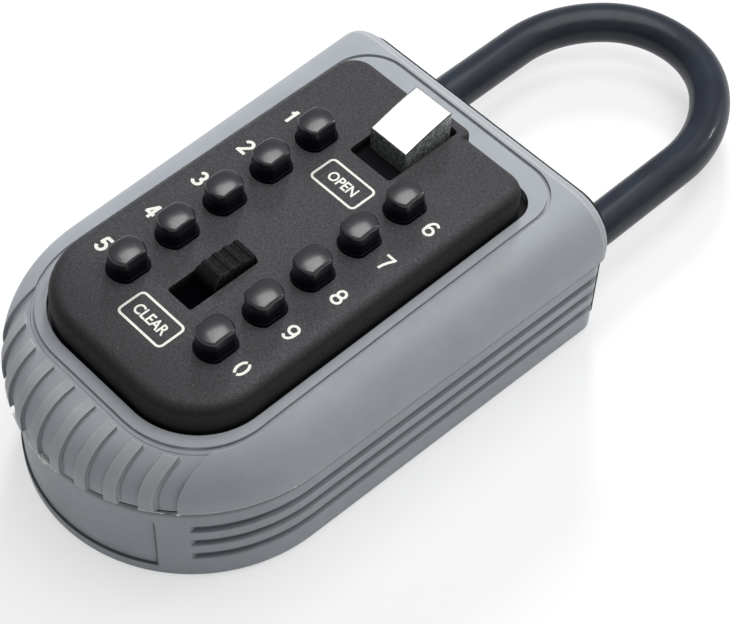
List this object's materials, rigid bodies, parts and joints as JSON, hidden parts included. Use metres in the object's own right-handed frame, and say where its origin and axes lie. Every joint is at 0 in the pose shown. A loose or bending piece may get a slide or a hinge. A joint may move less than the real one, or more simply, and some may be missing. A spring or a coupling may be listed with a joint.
{
  "type": "combination key safe",
  "caption": "Portable push-button key safe in a moulded rubber jacket, with a long vinyl-covered shackle and a lift-off keypad cover over a key compartment.",
  "frame": {"origin": "centre of the flat back face of the body, on the symmetry plane", "axes": "+Z out of the keypad face, +Y toward the shackle, +X to the right seen from the front"},
  "size_m": [0.0674, 0.164, 0.0444],
  "materials": {
    "jacket_rubber": "satin moulded grey rubber",
    "black_casting": "black powder coat",
    "black_cover": "fine-textured black powder coat",
    "shackle_steel": "plated hardened steel",
    "shackle_vinyl": "glossy dark vinyl",
    "plated_steel": "zinc-plated sheet steel",
    "spring_steel": "bright spring steel",
    "frame_plastic": "matt black moulding",
    "thumb_chrome": "satin nickel-chrome plating",
    "button_plastic": "glossy black",
    "peg_brass": "turned brass"
  },
  "bodies": {
    "housing": {"body_casting": "black_casting", "rubber_jacket": "jacket_rubber", "lock_cover": "plated_steel", "lock_cover_screws": "plated_steel", "shackle_lock_springs": "spring_steel"},
    "shackle": {"shackle_rod": "shackle_steel", "shackle_sleeve": "shackle_vinyl"},
    "shackle_lock": {"shackle_lock_plate": "plated_steel"},
    "lid": {"front_cover": "black_cover", "guide_frame": "frame_plastic", "rear_plate": "plated_steel", "rear_plate_screws": "plated_steel", "open_spring": "spring_steel", "clear_spring": "spring_steel", "button_spring_1": "spring_steel", "button_spring_2": "spring_steel", "button_spring_3": "spring_steel", "button_spring_4": "spring_steel", "button_spring_5": "spring_steel", "button_spring_6": "spring_steel", "button_spring_7": "spring_steel", "button_spring_8": "spring_steel", "button_spring_9": "spring_steel", "button_spring_0": "spring_steel"},
    "open_latch": {"open_thumb_block": "thumb_chrome", "code_plate": "plated_steel"},
    "clear_slider": {"clear_thumb": "button_plastic", "clear_plate": "plated_steel"},
    "push_1": {"button_1": "button_plastic", "code_peg_1": "peg_brass"},
    "push_2": {"button_2": "button_plastic", "code_peg_2": "peg_brass"},
    "push_3": {"button_3": "button_plastic", "code_peg_3": "peg_brass"},
    "push_4": {"button_4": "button_plastic", "code_peg_4": "peg_brass"},
    "push_5": {"button_5": "button_plastic", "code_peg_5": "peg_brass"},
    "push_6": {"button_6": "button_plastic", "code_peg_6": "peg_brass"},
    "push_7": {"button_7": "button_plastic", "code_peg_7": "peg_brass"},
    "push_8": {"button_8": "button_plastic", "code_peg_8": "peg_brass"},
    "push_9": {"button_9": "button_plastic", "code_peg_9": "peg_brass"},
    "push_0": {"button_0": "button_plastic", "code_peg_0": "peg_brass"}
  },
  "joints": [
    {"name": "lid_lift", "type": "slide", "parent": "housing", "child": "lid", "axis": [0, 0, 1], "range_m": [0, 0.06]},
    {"name": "shackle_slide", "type": "slide", "parent": "housing", "child": "shackle", "axis": [0, 1, 0], "range_m": [0, 0.024]},
    {"name": "shackle_lock_lift", "type": "slide", "parent": "housing", "child": "shackle_lock", "axis": [0, 0, 1], "range_m": [0, 0.0052], "stiffness_N_per_m": 250, "springref_m": -0.004, "deforming": ["shackle_lock_springs"]},
    {"name": "open_latch_slide", "type": "slide", "parent": "lid", "child": "open_latch", "axis": [0, -1, 0], "range_m": [0, 0.0043], "stiffness_N_per_m": 500, "springref_m": -0.003, "deforming": ["open_spring"]},
    {"name": "clear_slide", "type": "slide", "parent": "lid", "child": "clear_slider", "axis": [0, -1, 0], "range_m": [0, 0.005], "stiffness_N_per_m": 300, "springref_m": -0.003, "deforming": ["clear_spring"]},
    {"name": "button_1_press", "type": "slide", "parent": "lid", "child": "push_1", "axis": [0, 0, -1], "range_m": [0, 0.0025], "stiffness_N_per_m": 400, "springref_m": -0.0015, "deforming": ["button_spring_1"]},
    {"name": "button_2_press", "type": "slide", "parent": "lid", "child": "push_2", "axis": [0, 0, -1], "range_m": [0, 0.0025], "stiffness_N_per_m": 400, "springref_m": -0.0015, "deforming": ["button_spring_2"]},
    {"name": "button_3_press", "type": "slide", "parent": "lid", "child": "push_3", "axis": [0, 0, -1], "range_m": [0, 0.0025], "stiffness_N_per_m": 400, "springref_m": -0.0015, "deforming": ["button_spring_3"]},
    {"name": "button_4_press", "type": "slide", "parent": "lid", "child": "push_4", "axis": [0, 0, -1], "range_m": [0, 0.0025], "stiffness_N_per_m": 400, "springref_m": -0.0015, "deforming": ["button_spring_4"]},
    {"name": "button_5_press", "type": "slide", "parent": "lid", "child": "push_5", "axis": [0, 0, -1], "range_m": [0, 0.0025], "stiffness_N_per_m": 400, "springref_m": -0.0015, "deforming": ["button_spring_5"]},
    {"name": "button_6_press", "type": "slide", "parent": "lid", "child": "push_6", "axis": [0, 0, -1], "range_m": [0, 0.0025], "stiffness_N_per_m": 400, "springref_m": -0.0015, "deforming": ["button_spring_6"]},
    {"name": "button_7_press", "type": "slide", "parent": "lid", "child": "push_7", "axis": [0, 0, -1], "range_m": [0, 0.0025], "stiffness_N_per_m": 400, "springref_m": -0.0015, "deforming": ["button_spring_7"]},
    {"name": "button_8_press", "type": "slide", "parent": "lid", "child": "push_8", "axis": [0, 0, -1], "range_m": [0, 0.0025], "stiffness_N_per_m": 400, "springref_m": -0.0015, "deforming": ["button_spring_8"]},
    {"name": "button_9_press", "type": "slide", "parent": "lid", "child": "push_9", "axis": [0, 0, -1], "range_m": [0, 0.0025], "stiffness_N_per_m": 400, "springref_m": -0.0015, "deforming": ["button_spring_9"]},
    {"name": "button_0_press", "type": "slide", "parent": "lid", "child": "push_0", "axis": [0, 0, -1], "range_m": [0, 0.0025], "stiffness_N_per_m": 400, "springref_m": -0.0015, "deforming": ["button_spring_0"]}
  ]
}
